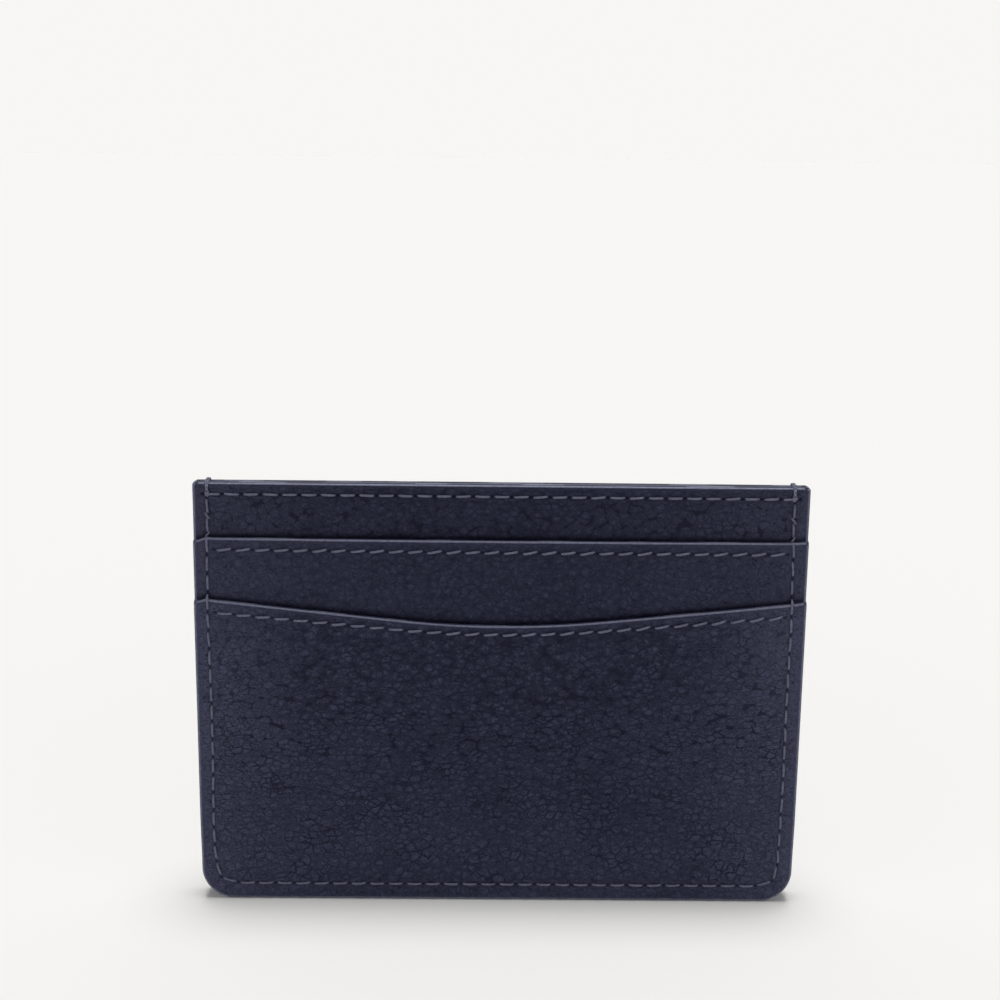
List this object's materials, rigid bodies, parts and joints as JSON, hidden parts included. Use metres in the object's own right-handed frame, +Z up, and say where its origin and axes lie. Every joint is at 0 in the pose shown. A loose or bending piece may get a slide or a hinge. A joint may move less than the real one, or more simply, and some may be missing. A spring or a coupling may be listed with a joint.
{
  "type": "card holder",
  "caption": "Slim leather card holder with open-top card slots on both faces, a centre slot, painted edges and stitched seams.",
  "frame": {"origin": "middle of the bottom edge, where the card holder rests when stood up", "axes": "+X along the width, -Y towards the front face, +Z up to the open mouths"},
  "size_m": [0.1, 0.0082, 0.0724],
  "materials": {
    "leather": "satin",
    "lining": "matte",
    "edge_paint": "satin",
    "thread": "satin"
  },
  "bodies": {
    "root": {"front_base_edge_paint": "edge_paint", "front_base_lining": "lining", "front_base_mouth_bobbin_thread": "thread", "front_base_mouth_needle_thread": "thread", "front_base_panel": "leather", "front_middle_mouth_bobbin_thread": "thread", "front_middle_mouth_edge_paint": "edge_paint", "front_middle_mouth_needle_thread": "thread", "front_middle_pocket": "leather", "front_middle_pocket_lining": "lining", "front_outer_mouth_bobbin_thread": "thread", "front_outer_mouth_edge_paint": "edge_paint", "front_outer_mouth_needle_thread": "thread", "front_outer_pocket": "leather", "front_outer_pocket_lining": "lining", "front_stop_seam_bobbin_thread": "thread", "front_stop_seam_needle_thread": "thread", "outline_bobbin_thread": "thread", "outline_edge_paint": "edge_paint", "outline_needle_thread": "thread", "rear_base_edge_paint": "edge_paint", "rear_base_lining": "lining", "rear_base_mouth_bobbin_thread": "thread", "rear_base_mouth_needle_thread": "thread", "rear_base_panel": "leather", "rear_middle_mouth_bobbin_thread": "thread", "rear_middle_mouth_edge_paint": "edge_paint", "rear_middle_mouth_needle_thread": "thread", "rear_middle_pocket": "leather", "rear_middle_pocket_lining": "lining", "rear_outer_mouth_bobbin_thread": "thread", "rear_outer_mouth_edge_paint": "edge_paint", "rear_outer_mouth_needle_thread": "thread", "rear_outer_pocket": "leather", "rear_outer_pocket_lining": "lining", "rear_stop_seam_bobbin_thread": "thread", "rear_stop_seam_needle_thread": "thread"}
  },
  "joints": []
}
